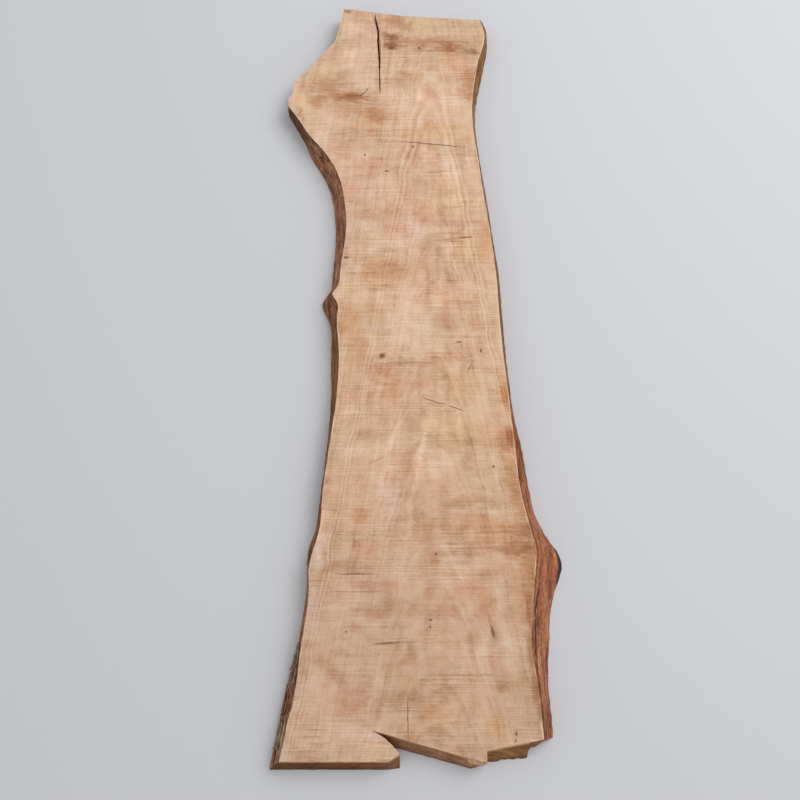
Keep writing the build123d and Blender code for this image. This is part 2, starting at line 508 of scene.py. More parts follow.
def bark_skin(name, tones, tints_and_shade, patch_lengths):
    """Fibrous bark: patchy, paler where dusty, grey on scales, dark at the arris, painted shade in furrows
    and along its length.
    """
    material, shader, place = start_material(name, *BARK_FINISH)
    streak = blotches(wander(place, *BARK_STREAK_WANDER), BARK_STREAK, seed=3.0, detail=4.0)
    patch = blotches(wander(place, *BARK_PATCH_WANDER), patch_lengths, seed=15.0)
    dust = blotches(place, BARK_DUST, seed=7.0, detail=4.0)
    fleck = blotches(place, BARK_FLECK, seed=11.0)
    ruddy = blotches(place, BARK_RUDDY, seed=23.0)
    tone = weigh(((streak, 1.0), (patch, 0.8), (fleck, 0.8), (dust, 0.3)), -0.97)
    colour = colour_row(tone, tones)
    colour = lay_over(ease(ruddy, *RUDDY_SPREAD), colour, RUDDY_TINT, "MULTIPLY")
    colour = lay_over(ease(dust, *DUST_SPREAD), colour, DUST_COLOUR)
    colour = lay_over(ease(attribute(place, "scale"), *SCALE_SPREAD), colour, SCALE_COLOUR)
    # Painted shade along the bark, together with its own colour, from the lengthways tints.
    lengthways_tint_and_shade = colour_row(axis_share(place, 1), tints_and_shade)
    colour = lay_over(1.0, colour, lengthways_tint_and_shade, "MULTIPLY")
    up = on_axis(place, "Z")
    arris = ease(up, high.z - DARK_ARRIS, high.z)
    arris = reckon("MULTIPLY", arris, ease(patch, *DARK_ARRIS_SPREAD))
    colour = lay_over(arris, colour, DARK_ARRIS_COLOUR)
    # Painted shade in the furrows, the long split, the knob's crease and the hollow under the right knob's
    # lip.
    colour = lay_over(ease(attribute(place, "furrow"), *FURROW_SHADE_SPREAD), colour, FURROW_SHADE_COLOUR)
    height = weigh(((streak, 1.0), (fleck, 0.6), (patch, 0.8)), 0.0)
    dress(shader, colour, height, *BARK_RELIEF)
    return material


finish_surface([LEFT_BARK], bark_skin("left_bark", LEFT_BARK_TONES, LEFT_BARK_TINTS_AND_SHADE, LEFT_BARK_PATCH))
finish_surface([RIGHT_BARK], bark_skin("right_bark", RIGHT_BARK_TONES, RIGHT_BARK_TINTS_AND_SHADE, RIGHT_BARK_PATCH))

# The ends were cut with a chain saw, which left scratches, a nibbled arris and bare growth rings. The butt's
# end grain is darkest at its foot and paler on its later cuts. Each end has painted shade towards the
# underside and a painted highlight along its arris with the face. The walls of the drying check are torn
# wood, tinted dark brown as painted shade inside the check, and they close up below the face.
SCRATCH_DEPTH = 0.0008
SCRATCH_PITCH = 0.006
SCRATCH_HEIGHT = 0.06
SCRATCH_LEAN = 0.45
SCRATCH_SHARE = 0.7
CHATTER_LENGTH = 0.03
CHATTER_HEIGHT = 0.012
CHATTER_SHARE = 0.6
NIBBLE_DEPTH = 0.0007
NIBBLE_LENGTH = 0.018
NIBBLE_HEIGHT = 0.05
RAG_DEPTH = 0.0035
RAG_WIDTH = 0.014
RAG_LENGTH = 0.02
RAG_HEIGHT = 0.02
RAG_BREAKS = (-0.1, 0.6)
RAGGED_FROM = 0.137
CHECK_WIDEST = 0.006
CHECK_NARROWS = 0.9
CHECK_OPEN_DEPTH = 0.002
CHECK_SHUT_DEPTH = 0.020
HAIRBREADTH = 0.0003


def gap_before(place, way):
    """The way from a wall of the check to the wall across from it, or nothing where there is none."""
    level = min(max(place.z, HAIRBREADTH), high.z - HAIRBREADTH)
    start = Vector((place.x, place.y - HAIRBREADTH, level)) + way * HAIRBREADTH
    _, facing, _, distance = smooth_slab.ray_cast(start, way, CHECK_WIDEST)
    if facing is None or facing.dot(way) > 0:
        return Vector()
    return way * (distance + HAIRBREADTH)


CHECK_WALLS = [
    label for label in SIDEWAYS_ENDS if label in TOP_ENDS
    and any(gap_before(face.calc_center_median(), face.normal).length for face in faces_of(label))
]
CUT_ENDS = [label for label in TOP_ENDS if label not in CHECK_WALLS]


def saw_bite(across, along, up):
    """How deep the chain saw bit into an end at a place, with the ragged foot of the last cut."""
    scratch = wave((across + along + SCRATCH_LEAN * up) / SCRATCH_PITCH, up / SCRATCH_HEIGHT, 41)
    chatter = wave(across / CHATTER_LENGTH, along / CHATTER_LENGTH, up / CHATTER_HEIGHT)
    nibble = wave(across / NIBBLE_LENGTH, along / NIBBLE_LENGTH, up / NIBBLE_HEIGHT)
    rag = fade(wave(across / RAG_WIDTH, along / RAG_LENGTH, 44), *RAG_BREAKS) * fade(up, RAG_HEIGHT, 0.0)
    rag *= (across > RAGGED_FROM) * (along < 0)
    bite = SCRATCH_DEPTH * (1 + SCRATCH_SHARE * scratch + CHATTER_SHARE * chatter) / 2
    return bite + (NIBBLE_DEPTH * max(0, nibble) + RAG_DEPTH * rag)


for vert in net.verts:
    if vert not in shifts and surfaces_at[vert] & set(ENDS):
        shifts[vert] = outward(vert, ENDS) * -saw_bite(*vert.co)
        if surfaces_at[vert] & set(CHECK_WALLS):
            shut = CHECK_NARROWS / 2 * fade(high.z - vert.co.z, CHECK_OPEN_DEPTH, CHECK_SHUT_DEPTH)
            shifts[vert] += shut * gap_before(vert.co, outward(vert, CHECK_WALLS))

END_FINISH = (0.85, 0.2)
END_BLOTCH = (0.05, 0.05, 0.03)
END_SCRATCH = (0.004, 0.004, 0.02)
RING_HEART = (0.02, 0.0, -0.16)
RING_WIDTH = 0.009
RING_WANDER = (0.05, 0.012)
END_TONES = (
    (0.15, paint(108, 72, 46)), (0.45, paint(160, 120, 87)), (0.60, paint(184, 144, 108)),
    (0.85, paint(208, 172, 136)),
)
BUTT_TINTS = (
    (0.00, (0.43, 0.295, 0.155, 1)), (0.36, (0.44, 0.31, 0.165, 1)), (0.41, (0.80, 0.69, 0.63, 1)),
    (0.52, (0.78, 0.70, 0.65, 1)), (0.66, (0.89, 0.80, 0.76, 1)), (0.70, (1.30, 1.20, 1.10, 1)),
    (0.73, (0.62, 0.52, 0.35, 1)), (1.00, (0.64, 0.54, 0.37, 1)),
)
TOP_TINTS = ((0.00, (0.95, 0.88, 0.80, 1)), (1.00, (1.00, 0.94, 0.88, 1)))
# The check's walls are tinted very dark brown: painted shade inside the check.
CHECK_SHADE_TINTS = ((0.00, (0.36, 0.21, 0.10, 1)), (1.00, (0.36, 0.21, 0.10, 1)))
UNDERSIDE_SHADE_TINT = (0.72, 0.68, 0.64, 1)
INNER_BARK_COLOUR = paint(104, 62, 46)
INNER_BARK_SPREAD = (0.5, 0.95, 0.0, 0.8)
END_HIGHLIGHT_COLOUR = paint(222, 184, 142)
END_HIGHLIGHT_DEPTH = 0.010
END_HIGHLIGHT_SHARE = 0.75
END_RELIEF = (0.0012, 0.5)


def ring_noise(distance, rings_in_a_metre, detail):
    """Growth rings: noise along a distance alone."""
    inputs = {"W": distance, "Scale": rings_in_a_metre, "Detail": detail}
    return add_node("TexNoise", inputs, noise_dimensions="1D").outputs["Fac"]


def end_grain(name, tints_and_shade, highlight_share):
    """Chain-sawn end grain with rings, tinted from left to right, dark beside the bark, with painted shade
    low and a painted highlight at the arris.
    """
    material, shader, place = start_material(name, *END_FINISH)
    broad = blotches(place, END_BLOTCH, seed=2.0, detail=4.0)
    scratch = blotches(place, END_SCRATCH, seed=6.0)
    from_heart = add_node("Mapping", {
        "Vector": wander(place, *RING_WANDER), "Location": RING_HEART, "Scale": (1, 0, 1)},
        vector_type="TEXTURE").outputs[0]
    radius = add_node("VectorMath", {0: from_heart}, operation="LENGTH").outputs["Value"]
    rings = ring_noise(radius, 1 / RING_WIDTH, 2.0)
    tone = weigh(((broad, 0.9), (rings, 0.5), (scratch, 0.5)), -0.45)
    crosswise_tint_and_shade = colour_row(axis_share(place, 0), tints_and_shade)
    colour = lay_over(1.0, colour_row(tone, END_TONES), crosswise_tint_and_shade, "MULTIPLY")
    up = on_axis(place, "Z")
    # Painted shade: the ends darken from half their height down to the underside.
    colour = lay_over(ease(up, high.z / 2, 0.0), colour, UNDERSIDE_SHADE_TINT, "MULTIPLY")
    inner_bark = ease(attribute(place, "rim"), *INNER_BARK_SPREAD)
    colour = lay_over(inner_bark, colour, INNER_BARK_COLOUR)
    # Painted highlight: the ends are paler just below their arris with the face.
    painted_highlight = ease(up, high.z - END_HIGHLIGHT_DEPTH, high.z, 0.0, highlight_share)
    colour = lay_over(painted_highlight, colour, END_HIGHLIGHT_COLOUR)
    height = weigh(((scratch, 1.0), (rings, 0.3)), 0.0)
    dress(shader, colour, height, *END_RELIEF)
    return material


finish_surface(BUTT_ENDS, end_grain("butt_end_grain", BUTT_TINTS, END_HIGHLIGHT_SHARE))
finish_surface(CUT_ENDS, end_grain("top_end_grain", TOP_TINTS, END_HIGHLIGHT_SHARE))
finish_surface(CHECK_WALLS, end_grain("check_walls", CHECK_SHADE_TINTS, 0.0))

# The two broad faces were sawn on a band mill: pale tan heartwood with the blade's fine ridges straight
# across the grain, knots and weather stains, and an arris that is chipped along its length.
SAW_RIDGE = 0.00022
SAW_RIDGE_LENGTH = 0.7
SAW_PITCH = 0.0056
SAW_LEAN = 0.012
FACE_HOLLOW = 0.0005
FACE_HOLLOW_WIDTH = 0.22
FACE_HOLLOW_LENGTH = 0.16
ARRIS_CHIP = 0.0012
ARRIS_CHIP_LENGTH = 0.02
ARRIS_CHIP_BREAKS = (-0.5, 0.7)
ARRIS_REACH = 0.012
RIM_REACH = 0.025

bark_arris = [vert for vert in net.verts if len(surfaces_at[vert]) > 1 and surfaces_at[vert] & set(BARK)]
moved_arris = [vert for vert in shifts if surfaces_at[vert] & {SAWN_FACE, UNDERSIDE}]


def nearest_of(verts):
    """A tree that finds the nearest of some vertices."""
    tree = KDTree(len(verts))
    for index, vert in enumerate(verts):
        tree.insert(vert.co, index)
    tree.balance()
    return tree


def face_depth(across, along, at_arris):
    """How far the sawn face lies below its highest ridges at a place: ridges, a slight hollow, and chips."""
    ridge = wave(across / SAW_RIDGE_LENGTH, (along + SAW_LEAN * across) / SAW_PITCH, 31)
    hollow = wave(across / FACE_HOLLOW_WIDTH, along / FACE_HOLLOW_LENGTH, 32)
    depth = SAW_RIDGE * (1 + ridge) + FACE_HOLLOW * (1 + hollow) / 2
    if at_arris:
        chip = wave(across / ARRIS_CHIP_LENGTH, along / ARRIS_CHIP_LENGTH, 33)
        depth += ARRIS_CHIP * fade(chip, *ARRIS_CHIP_BREAKS)
    return depth


bark_tree = nearest_of(bark_arris)
arris_tree = nearest_of(moved_arris)
for vert in net.verts:
    at_arris = len(surfaces_at[vert]) > 1
    vert[rim_layer] = max(0, 1 - bark_tree.find(vert.co)[2] / RIM_REACH)
    vert[arris_layer] = SAWN_FACE in surfaces_at[vert] and at_arris
    if vert not in shifts:
        _, index, distance = arris_tree.find(vert.co)
        shifts[vert] = shifts[moved_arris[index]] * max(0, 1 - distance / ARRIS_REACH)
    if SAWN_FACE in surfaces_at[vert]:
        shifts[vert] = shifts[vert] - Vector((0, 0, face_depth(vert.co.x, vert.co.y, at_arris)))

# Marks seen on the face, given as pixel across, pixel down, half width, half height and, where a mark is
# turned, its turn in degrees.
PALE_ZONES = (
    (362, 28, 24, 18), (352, 62, 20, 22), (422, 100, 56, 16, -4), (450, 168, 34, 16), (410, 236, 34, 30),
    (408, 318, 30, 40), (470, 290, 20, 16), (346, 420, 22, 18), (350, 455, 24, 14), (438, 462, 30, 26),
    (394, 520, 26, 58, -5), (448, 568, 28, 34), (330, 600, 34, 20), (480, 650, 70, 20), (502, 592, 24, 20),
    (335, 742, 80, 26), (466, 730, 30, 26), (515, 712, 18, 22), (324, 128, 16, 16), (400, 192, 60, 14),
    (326, 525, 17, 32), (316, 562, 13, 24), (345, 418, 14, 16),
)
BRIGHT_ZONES = (
    (456, 255, 22, 28), (475, 322, 13, 42), (440, 298, 18, 14), (349, 402, 11, 24), (447, 418, 26, 34),
    (330, 524, 17, 18), (356, 545, 16, 13), (441, 640, 22, 10), (442, 712, 20, 20), (492, 726, 16, 12),
    (302, 98, 12, 14), (326, 160, 9, 13), (323, 536, 16, 40), (392, 468, 14, 16), (446, 178, 22, 12),
    (455, 200, 14, 12), (422, 96, 14, 10), (464, 575, 18, 12), (350, 28, 16, 10), (350, 52, 14, 9),
)
ASHEN_ZONES = (
    (362, 40, 18, 32), (367, 188, 25, 19), (458, 197, 22, 10), (412, 228, 20, 19), (393, 495, 20, 52),
    (358, 551, 13, 10), (375, 584, 30, 8), (354, 692, 15, 17), (432, 722, 18, 11), (508, 722, 16, 11),
    (392, 40, 12, 11), (437, 432, 15, 10), (322, 545, 12, 40), (310, 610, 8, 24),
)
PALE_STREAKS = (
    (427, 436, 5, 34, -14), (417, 474, 5, 36, -16), (409, 518, 5, 46, -8), (402, 570, 5, 34, -8),
    (395, 434, 4.5, 32, -24), (444, 403, 14, 2.4, -12),
)
DULL_ZONES = (
    (524, 690, 19, 40), (532, 718, 14, 18), (506, 676, 13, 14), (352, 138, 27, 17), (366, 147, 10, 13),
    (400, 48, 10, 8), (433, 64, 10, 15), (396, 83, 13, 10), (344, 74, 17, 9), (470, 50, 15, 15),
    (452, 80, 14, 9), (358, 240, 18, 12), (335, 280, 9, 15), (377, 322, 15, 26), (497, 503, 12, 13),
    (506, 592, 11, 12), (508, 614, 13, 11), (472, 550, 13, 13), (346, 750, 19, 9), (410, 196, 13, 10),
    (366, 436, 14, 9), (414, 450, 10, 13), (437, 612, 10, 10), (372, 640, 18, 9), (412, 655, 9, 13),
    (334, 600, 18, 8), (470, 638, 14, 10), (494, 640, 10, 12),
)
RED_STAINS = (
    (381, 373, 24, 13), (421, 384, 20, 9), (344, 150, 26, 12), (372, 614, 17, 12), (358, 631, 13, 12),
    (408, 661, 13, 11), (444, 612, 26, 12), (488, 612, 12, 14), (362, 550, 22, 12), (404, 460, 20, 24),
    (380, 587, 46, 10), (350, 702, 22, 28), (376, 712, 14, 16), (312, 648, 14, 12), (474, 520, 20, 14),
    (502, 437, 30, 15, -24), (482, 546, 22, 13), (498, 570, 16, 11), (395, 230, 20, 16), (424, 214, 18, 14),
    (372, 166, 30, 15), (350, 190, 20, 18), (470, 590, 20, 14),
)
ORANGE_STAINS = (
    (346, 322, 22, 26), (357, 345, 14, 34), (392, 388, 11, 17), (452, 356, 15, 12), (360, 518, 14, 10),
    (382, 273, 40, 18), (487, 240, 10, 30, 5), (504, 396, 10, 34, 8), (512, 470, 12, 40, 12),
    (492, 530, 54, 17), (484, 600, 13, 15), (524, 598, 20, 44, 4), (372, 122, 20, 20, -30),
    (454, 60, 22, 13), (410, 735, 14, 11), (432, 712, 20, 14), (536, 660, 10, 60, 3),
)
YELLOW_ZONES = (
    (440, 133, 60, 13), (466, 386, 34, 25), (424, 25, 22, 12), (376, 310, 18, 17), (452, 430, 56, 20),
    (430, 724, 34, 17), (500, 726, 30, 18), (405, 682, 15, 14), (520, 680, 13, 15), (322, 74, 24, 13, 30),
    (310, 106, 18, 16), (346, 290, 14, 14), (374, 752, 24, 11), (450, 200, 40, 20), (470, 250, 24, 20),
    (302, 96, 12, 16),
)
BROWN_STAINS = (
    (392, 36, 18, 7), (392, 45, 17, 8), (448, 47, 30, 14), (446, 45, 22, 9), (430, 42, 70, 9),
    (328, 87, 40, 19, -8), (348, 99, 46, 18, -8), (346, 108, 34, 14, -10), (322, 100, 20, 14),
    (376, 113, 20, 16, -35), (516, 546, 38, 14), (524, 532, 24, 14), (472, 92, 20, 14), (470, 82, 16, 26),
    (301, 111, 5, 7), (304, 118, 4, 4), (406, 25, 13, 9, -30), (398, 21, 20, 9),
)
FAINT_STAINS = (
    (416, 187, 26, 14), (376, 215, 44, 10), (384, 269, 28, 12), (366, 435, 20, 12), (412, 426, 14, 20),
    (346, 568, 30, 11), (436, 562, 8, 24), (396, 608, 48, 16), (336, 676, 20, 11, -30),
    (320, 664, 24, 9, -15), (402, 697, 50, 11), (505, 686, 12, 10), (465, 500, 38, 9), (414, 362, 44, 7),
    (386, 368, 16, 12), (480, 576, 20, 11), (446, 322, 20, 16, 30), (344, 258, 10, 12), (408, 79, 19, 11),
    (372, 133, 10, 8), (342, 97, 26, 7, -3), (512, 550, 28, 8), (454, 47, 16, 7), (376, 438, 18, 10),
)
DEEP_STAINS = (
    (535, 556, 24, 50), (540, 606, 20, 60, 3), (510, 437, 13, 18), (518, 500, 14, 36, 12),
    (507, 395, 9, 30, 8), (549, 690, 9, 50, 3), (448, 47, 19, 9), (352, 98, 24, 8, -6),
)
KNOT_STAINS = (
    (391, 37, 13, 5), (391, 45, 11, 5, 4), (349, 10, 8, 3), (486, 28, 4, 8), (472, 51, 12, 3.5, -8),
    (382, 355.5, 5.5, 4.5),
)
RIM_STAINS = (
    (530, 612, 6, 26, 2), (531, 650, 6, 26, 2), (536, 688, 6, 24, 5), (510, 436, 5, 16, 9),
    (540, 712, 4, 14, 5),
)
DARK_SPOTS = (
    (419, 48, 1.9, 1.5), (413, 146.6, 1.8, 1.5), (365, 155, 1.7, 1.4), (386.6, 171, 3.5, 1.2),
    (458.5, 342, 3.5, 1.1), (481, 350.5, 1.5, 2.5), (493.6, 466.4, 1.8, 1.8), (436, 554, 1.8, 1.5),
    (346, 632, 1.6, 1.4), (430.4, 619.7, 2, 2), (430, 627, 1.3, 2.2), (516.4, 734, 1.5, 3.5),
    (515.5, 741, 1.3, 2.4), (346, 257.5, 4, 1.4), (382, 355.5, 2.8, 2.4), (391.5, 47.8, 5, 2.2, 4),
)
# The first three dark lines are painted shade along the check's mouth and a painted shadow just past its tip;
# the others are scratches and dark marks.
DARK_LINES_AND_CHECK_SHADE = (
    (376.4, 24, 1.8, 14, 13), (379.3, 52, 2.0, 25, 1), (379.9, 84, 1.4, 14, 1), (354, 95.7, 7, 0.9, 1),
    (361, 94.8, 3.4, 0.9, 18), (364.7, 92.5, 3.4, 0.9, 44), (367.1, 89.4, 3, 0.9, 62),
    (434, 144.3, 48, 0.8, -5.3), (466, 237.4, 10, 1.0, 5), (469.5, 367.5, 8, 0.8, 65),
    (434.7, 401.5, 18, 0.8, -16), (455.5, 408, 13, 0.8, -19), (356, 574, 28, 1.0), (386, 643.2, 18, 1.0, 3),
    (493, 632, 1.7, 9, 13), (407.8, 718, 0.8, 30), (391, 39.8, 11, 0.9),
)
FAINT_LINES = (
    (490, 621, 2.2, 12, 13), (493, 633, 3.0, 10, 13), (392, 644, 34, 1.3, 3), (361, 175.7, 12, 1.1),
    (450, 239, 24, 1.2, 5.5), (376, 460.5, 13, 1.1, 24), (457, 505.5, 28, 1.1), (357, 591.8, 44, 1.1),
    (401, 642, 30, 1.1, 3.5), (412, 362.5, 32, 1.5, -1), (340, 84, 20, 1.3, 2), (336, 97, 24, 1.3),
    (330, 90, 14, 1.2, -4), (356, 102, 13, 1.3, -8), (440, 51, 34, 1.4, -2), (447, 42, 18, 1.6),
    (405, 73.5, 10, 1.2, -5), (400, 270, 14, 1.1, 2), (376, 289, 14, 1.1), (314, 730, 17, 1.1, 1),
    (312, 737, 15, 1.1), (318, 744, 16, 1.1), (308, 751, 14, 1.1), (356, 568, 26, 1.1),
    (480, 548, 26, 1.5, 1), (500, 532, 34, 1.5, 2), (465, 675, 60, 1.2), (384, 285.5, 8, 1.2),
    (368.5, 282, 4, 1.1), (337, 134, 12, 1.1), (402, 36.5, 4, 1.2, -40),
)

# How each kind of mark changes the colour of the wood, and how strongly, in the order in which they are laid.
ZONE_SHADES = (
    (PALE_ZONES, (1.07, 1.10, 1.15, 1), 0.8),
    (BRIGHT_ZONES, (1.13, 1.14, 1.15, 1), 0.9),
    (ASHEN_ZONES, (1.00, 1.01, 1.15, 1), 0.65),
    (DULL_ZONES, (0.84, 0.79, 0.74, 1), 0.8),
    (PALE_STREAKS, (1.14, 1.17, 1.21, 1), 0.9),
    (YELLOW_ZONES, (0.98, 0.97, 0.84, 1), 0.9),
    (RED_STAINS, (0.94, 0.82, 0.79, 1), 0.9),
    (ORANGE_STAINS, (0.92, 0.76, 0.60, 1), 0.7),
    (FAINT_STAINS, (0.72, 0.56, 0.44, 1), 0.45),
    (BROWN_STAINS, (0.70, 0.52, 0.39, 1), 0.75),
    (DEEP_STAINS, (0.74, 0.56, 0.42, 1), 0.85),
    (KNOT_STAINS, (0.52, 0.38, 0.28, 1), 0.8),
)
LINE_COLOURS = (
    (FAINT_LINES, paint(150, 108, 80), 0.38),
    (DARK_LINES_AND_CHECK_SHADE, paint(106, 72, 50), 0.7),
    (DARK_SPOTS, paint(112, 74, 50), 0.8),
)
RIM_STAIN_SHADE = (0.72, 0.60, 0.52, 1)
ARRIS_HIGHLIGHT_COLOUR = paint(238, 210, 178)
ARRIS_HIGHLIGHT_REACH = 0.0034
ZONE_EDGE = (0.05, 0.8)
LINE_EDGE = (0.05, 0.45)
RIM_STAIN_SPREAD = (0.05, 0.6, 0.0, 0.9)
ARRIS_EDGE = (0.1, 0.9)
ARRIS_HIGHLIGHT_SPREAD = (0.56, 0.40, 0.0, 0.55)
STREAKS = (0.040, 0.008, 0.04)
DASHES = (0.015, 0.0034, 0.02)
RAGGED_WANDER = (0.025, 0.018)


def face_spot(pixel_x, pixel_y):
    """The point of the sawn face that the photograph shows at a pixel."""
    right = (pixel_x - PHOTO_SIDE / 2) / PHOTO_FOCAL
    up = (PHOTO_SIDE / 2 - pixel_y) / PHOTO_FOCAL
    ray = Matrix.Rotation(CAMERA_TILT, 3, "X") @ Vector((right, up, -1))
    return camera_spot + ray * (CAMERA_ABOVE_FACE / -ray.z)


def mark_mask(place, marks):
    """Soft spots on the sawn face, strongest in the middle."""
    mask = 0.0
    for pixel_x, pixel_y, half_width, half_height, *turned in marks:
        turn = math.radians(turned[0] if turned else 0)
        across, down = math.cos(turn), math.sin(turn)
        middle = face_spot(pixel_x, pixel_y)
        side = face_spot(pixel_x + half_width * across, pixel_y - half_width * down) - middle
        top = face_spot(pixel_x - half_height * down, pixel_y - half_height * across) - middle
        placed = add_node("Mapping", {
            "Vector": place, "Location": middle, "Rotation": (0, 0, math.atan2(side.y, side.x)),
            "Scale": (side.length, top.length, 1)}, vector_type="TEXTURE")
        spot = add_node("TexGradient", {
            "Vector": placed.outputs[0]}, gradient_type="SPHERICAL").outputs["Fac"]
        mask = reckon("MAXIMUM", mask, spot)
    return mask


def face_marks(place, wandering, trembling, patch, colour, height):
    """Lays the face's own marks over plain wood: zones and stains, then lines, some of them painted shade at
    the check, then a painted highlight along the arris.
    """
    ragged = wander(wandering, *RAGGED_WANDER)
    streaks = blotches(place, STREAKS, seed=25.0, detail=5.0, roughness=0.65)
    dashes = blotches(trembling, DASHES, seed=37.0, roughness=0.6)
    grainy = weigh(((streaks, 1.5), (dashes, 2.2)), -0.85)
    broken = weigh(((streaks, 1.2),), 0.3)
    for marks, shade, strength in ZONE_SHADES:
        edges = wandering if marks is PALE_STREAKS else ragged
        spread = reckon("MULTIPLY", mark_mask(edges, marks), grainy)
        colour = lay_over(ease(spread, *ZONE_EDGE, most=strength), colour, shade, "MULTIPLY")
    for marks, shade, strength in LINE_COLOURS:
        spread = reckon("MULTIPLY", mark_mask(trembling, marks), broken)
        line = ease(spread, *LINE_EDGE, most=strength)
        colour = lay_over(line, colour, shade)
        height = reckon("SUBTRACT", height, line)
    # Painted highlight: a pale line along the face's arris, broken up by patches.
    rim_highlight = ease(attribute(place, "rim"), 1 - ARRIS_HIGHLIGHT_REACH / RIM_REACH, 1 - ARRIS_HIGHLIGHT_REACH / RIM_REACH / 3)
    arris_highlight = reckon("MAXIMUM", ease(attribute(place, "arris"), *ARRIS_EDGE), rim_highlight)
    painted_highlight = reckon("MULTIPLY", arris_highlight, ease(patch, *ARRIS_HIGHLIGHT_SPREAD))
    colour = lay_over(painted_highlight, colour, ARRIS_HIGHLIGHT_COLOUR)
    stained = ease(mark_mask(trembling, RIM_STAINS), *RIM_STAIN_SPREAD)
    return lay_over(stained, colour, RIM_STAIN_SHADE, "MULTIPLY"), height


HEART_LINE = 0.03
TAPER_MEETS = 2.1
CATHEDRAL_RISE = 148.0
RINGS_IN_A_METRE = 22.0
FLAME_FAN = 2.0
FLAME = (0.020, 0.20, 1)


def flame_grain(place):
    """The rings that a flat cut lays open: they rise to a point along the heart and fan out to the butt."""
    along = on_axis(place, "Y")
    from_heart = reckon("SUBTRACT", on_axis(place, "X"), HEART_LINE)
    fan = reckon("DIVIDE", from_heart, reckon("SUBTRACT", TAPER_MEETS, along))
    rise = reckon("MULTIPLY_ADD", reckon("MULTIPLY", fan, fan), CATHEDRAL_RISE, along)
    rings = ring_noise(rise, RINGS_IN_A_METRE, 3.0)
    fanned = add_node("CombineXYZ", {"X": reckon("MULTIPLY", fan, FLAME_FAN), "Y": along}).outputs[0]
    return rings, blotches(fanned, FLAME, seed=9.0, detail=2.0, roughness=0.5)


STROKE_WANDER = (0.12, 0.006)
STROKE_ZONE = (0.10, 0.05, 0.10)
STROKE_EDGE = (0.42, 0.66)
SAW_LINE = (0.20, 0.0030, 0.05)
FINE_SAW_LINE = (0.05, 0.0016, 0.05)
BITE_ZONE = (0.10, 0.045, 0.10)
BITE_SPREAD = (0.36, 0.64, 0.35, 1.6)


def blade_marks(place, wandering, trembling):
    """The band saw's marks: coarse and fine lines across, deeper in some zones, and its even stroke."""
    along = on_axis(wander(place, *STROKE_WANDER), "Y")
    stroke = reckon("SINE", reckon("MULTIPLY", along, math.tau / SAW_PITCH))
    stroke_zone = ease(blotches(place, STROKE_ZONE, seed=21.0), *STROKE_EDGE)
    bite = ease(blotches(wandering, BITE_ZONE, seed=45.0, detail=2.0), *BITE_SPREAD)
    lines = []
    for lengths, seed in ((SAW_LINE, 17.0), (FINE_SAW_LINE, 13.0)):
        line = blotches(trembling, lengths, seed, detail=2.0)
        lines.append(reckon("MULTIPLY", reckon("SUBTRACT", line, 0.5), bite))
    return *lines, reckon("MULTIPLY", stroke, stroke_zone)


WOOD_FINISH = (0.8, 0.25)
WOOD_WANDER = (0.07, 0.026)
WOOD_TREMBLE = (0.02, 0.003)
WOOD_BROAD = (0.20, 0.24, 0.2)
WOOD_PATCH = (0.085, 0.055, 0.08)
WOOD_CLOUD = (0.034, 0.024, 0.04)
WOOD_SPECK = (0.004, 0.005, 0.004)
WOOD_TONES = (
    (0.00, paint(126, 88, 61)), (0.25, paint(178, 139, 108)), (0.42, paint(202, 166, 137)),
    (0.52, paint(212, 179, 152)), (0.68, paint(222, 194, 170)), (1.00, paint(234, 214, 196)),
)
HUE_ZONE = (0.09, 0.11, 0.09)
HUE_EDGE = (0.35, 0.65)
ROSY_TINT = (1.0, 0.925, 0.865, 1)
STRAW_TINT = (0.985, 0.98, 0.94, 1)
# Painted light and shade along the sawn face: darker towards the butt and the top end, lighter from a third
# of the way up.
LENGTHWAYS_LIGHT_AND_SHADE = (
    (0.00, (0.92, 0.92, 0.94, 1)), (0.20, (0.91, 0.89, 0.90, 1)), (0.33, (1.00, 1.00, 1.00, 1)),
    (0.66, (1.02, 1.03, 1.06, 1)), (0.86, (1.03, 1.03, 1.06, 1)), (1.00, (0.95, 0.95, 0.94, 1)),
)
WOOD_RELIEF = (0.0008, 0.6)


def sawn_wood(name, with_marks):
    """Rough-sawn timber: tan, with saw lines across, flame grain along, and the face's own marks."""
    material, shader, place = start_material(name, *WOOD_FINISH)
    wandering = wander(place, *WOOD_WANDER)
    trembling = wander(place, *WOOD_TREMBLE)
    rings, flame = flame_grain(wandering)
    saw, fine_saw, stroke = blade_marks(place, wandering, trembling)
    broad = blotches(place, WOOD_BROAD, seed=1.0, detail=2.0)
    patch = blotches(wandering, WOOD_PATCH, seed=19.0, detail=2.0)
    cloud = blotches(wandering, WOOD_CLOUD, seed=5.0, detail=5.0, roughness=0.65)
    speck = blotches(place, WOOD_SPECK, seed=33.0)
    tone = weigh((
        (broad, 0.42), (patch, 0.20), (cloud, 0.50), (flame, 0.46), (rings, 0.35), (speck, 0.26),
        (saw, 0.42), (fine_saw, 0.26), (stroke, 0.02)), -0.59)
    colour = colour_row(tone, WOOD_TONES)
    hue = ease(blotches(place, HUE_ZONE, seed=29.0), *HUE_EDGE)
    colour = lay_over(1.0, colour, lay_over(hue, ROSY_TINT, STRAW_TINT), "MULTIPLY")
    # Painted light and shade along the length.
    lengthways_tint_and_shade = colour_row(axis_share(place, 1), LENGTHWAYS_LIGHT_AND_SHADE)
    colour = lay_over(1.0, colour, lengthways_tint_and_shade, "MULTIPLY")
    height = weigh(((saw, 1.0), (stroke, 0.3), (fine_saw, 0.6), (flame, 0.3)), 0.0)
    if with_marks:
        colour, height = face_marks(place, wandering, trembling, patch, colour, height)
    dress(shader, colour, height, *WOOD_RELIEF)
    return material


finish_surface([SAWN_FACE], sawn_wood("sawn_face", True))
finish_surface([UNDERSIDE], sawn_wood("underside", False))

